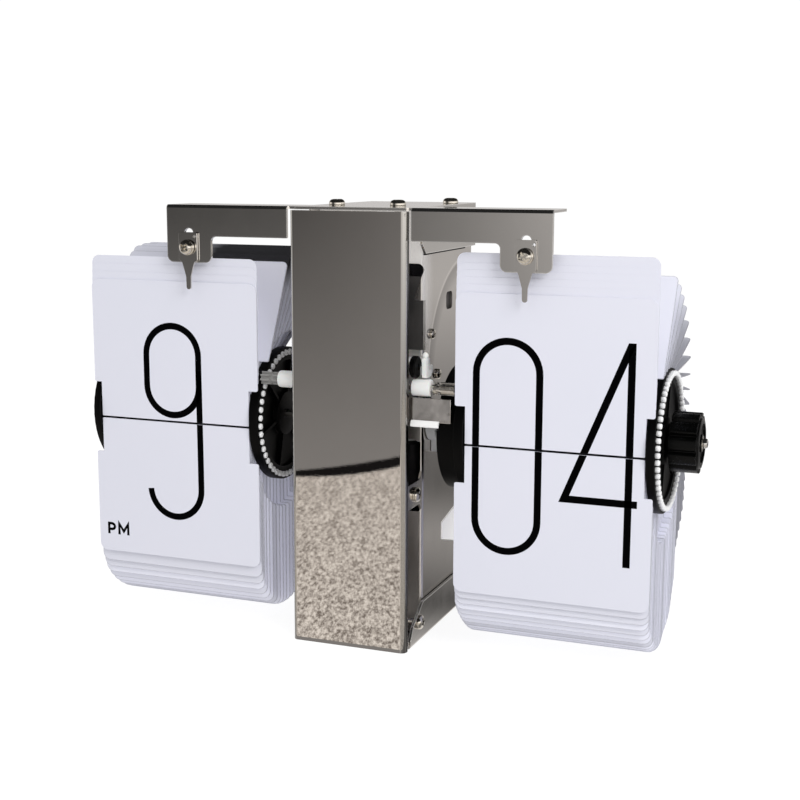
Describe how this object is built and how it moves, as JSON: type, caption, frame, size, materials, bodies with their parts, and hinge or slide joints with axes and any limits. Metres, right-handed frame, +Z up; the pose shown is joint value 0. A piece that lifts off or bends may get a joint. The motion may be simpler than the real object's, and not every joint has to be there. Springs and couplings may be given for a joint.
{
  "type": "flip number clock movement",
  "caption": "Free-standing flip number clock: mirror-polished sheet-steel T frame with an hour card wheel on the left and a minute card wheel with a set knob on the right.",
  "frame": {"origin": "centre of the base tray's underside, the face the clock stands on", "axes": "+X to the viewer's right, along both wheel shafts towards the set knob; +Y away from the viewer; +Z up"},
  "size_m": [0.2037, 0.0698, 0.142],
  "materials": {
    "polished_sheet_steel": "mirror-polished sheet steel",
    "screw_steel": "turned and rolled bright steel",
    "card_plastic": "satin lavender-white printed card",
    "black_plastic": "moulded black, slight sheen",
    "white_acetal": "moulded white, smooth",
    "grey_acetal": "moulded grey, smooth",
    "brass": "cut brass and copper winding",
    "cell_jacket": "dark printed metal jacket"
  },
  "bodies": {
    "frame": {"front_cover": "polished_sheet_steel", "base_tray": "polished_sheet_steel", "chassis": "polished_sheet_steel", "top_bracket": "polished_sheet_steel", "minute_catch_finger": "polished_sheet_steel", "hour_catch_finger": "polished_sheet_steel", "cover_clip_left": "polished_sheet_steel", "cover_clip_right": "polished_sheet_steel", "transfer_guard": "polished_sheet_steel", "base_screw_left": "screw_steel", "base_screw_right": "screw_steel", "cover_screw_left": "screw_steel", "cover_screw_right": "screw_steel", "minute_catch_screw": "screw_steel", "hour_catch_screw": "screw_steel", "top_screw_front_left": "screw_steel", "top_screw_front_right": "screw_steel", "top_screw_rear": "screw_steel", "movement_screw_upper": "screw_steel", "movement_screw_lower": "screw_steel", "contact_plate": "screw_steel", "contact_spring": "screw_steel", "minute_bottom_card": "card_plastic", "minute_standing_cards": "card_plastic", "minute_rear_cards": "card_plastic", "minute_hanging_cards": "card_plastic", "hour_bottom_card": "card_plastic", "hour_standing_cards": "card_plastic", "hour_rear_cards": "card_plastic", "hour_hanging_cards": "card_plastic", "movement_case": "black_plastic", "movement_lid": "black_plastic", "minute_bearing": "white_acetal", "hour_bearing": "white_acetal", "transfer_bush_left": "white_acetal", "transfer_bush_right": "white_acetal", "transfer_bracket": "white_acetal", "battery_holder": "white_acetal", "circuit_board": "grey_acetal", "motor_coil": "brass", "battery_cell": "cell_jacket"},
    "minute_wheel": {"minute_shaft": "screw_steel", "minute_shaft_clip": "screw_steel", "minute_disc_inner": "black_plastic", "minute_disc_outer": "black_plastic", "minute_hub": "black_plastic", "minute_carry_disc": "black_plastic", "set_knob": "black_plastic", "minute_gear": "white_acetal"},
    "hour_wheel": {"hour_shaft": "screw_steel", "hour_shaft_clip": "screw_steel", "hour_disc_inner": "black_plastic", "hour_disc_outer": "black_plastic", "hour_hub": "black_plastic"},
    "transfer": {"transfer_shaft": "screw_steel", "transfer_pinion_left": "grey_acetal", "transfer_pinion_right": "grey_acetal"},
    "drive_pinion": {"drive_pinion": "brass"},
    "minute_flap": {"minute_top_card": "card_plastic"},
    "hour_flap": {"hour_top_card": "card_plastic"}
  },
  "joints": [
    {"name": "minute_wheel_turn", "type": "hinge", "parent": "frame", "child": "minute_wheel", "pos_m": [0, -0.0101, 0.07], "axis": [1, 0, 0], "continuous": true},
    {"name": "hour_wheel_turn", "type": "hinge", "parent": "frame", "child": "hour_wheel", "pos_m": [0, -0.0101, 0.07], "axis": [1, 0, 0], "continuous": true},
    {"name": "transfer_turn", "type": "hinge", "parent": "frame", "child": "transfer", "pos_m": [0, -0.029, 0.0848], "axis": [1, 0, 0], "continuous": true},
    {"name": "drive_pinion_turn", "type": "hinge", "parent": "frame", "child": "drive_pinion", "pos_m": [0.0153, -0.0101, 0.07975], "axis": [1, 0, 0], "continuous": true},
    {"name": "minute_flap_fall", "type": "hinge", "parent": "frame", "child": "minute_flap", "pos_m": [0.06425, -0.0317, 0.0684], "axis": [1, 0, 0], "range_deg": [0, 180]},
    {"name": "hour_flap_fall", "type": "hinge", "parent": "frame", "child": "hour_flap", "pos_m": [-0.06425, -0.0317, 0.0684], "axis": [1, 0, 0], "range_deg": [0, 180]}
  ],
  "couplings": [
    {"joint": "hour_wheel_turn", "follows": "minute_wheel_turn", "ratio": 0.041667},
    {"joint": "transfer_turn", "follows": "minute_wheel_turn", "ratio": -0.25},
    {"joint": "drive_pinion_turn", "follows": "minute_wheel_turn", "ratio": -2}
  ]
}
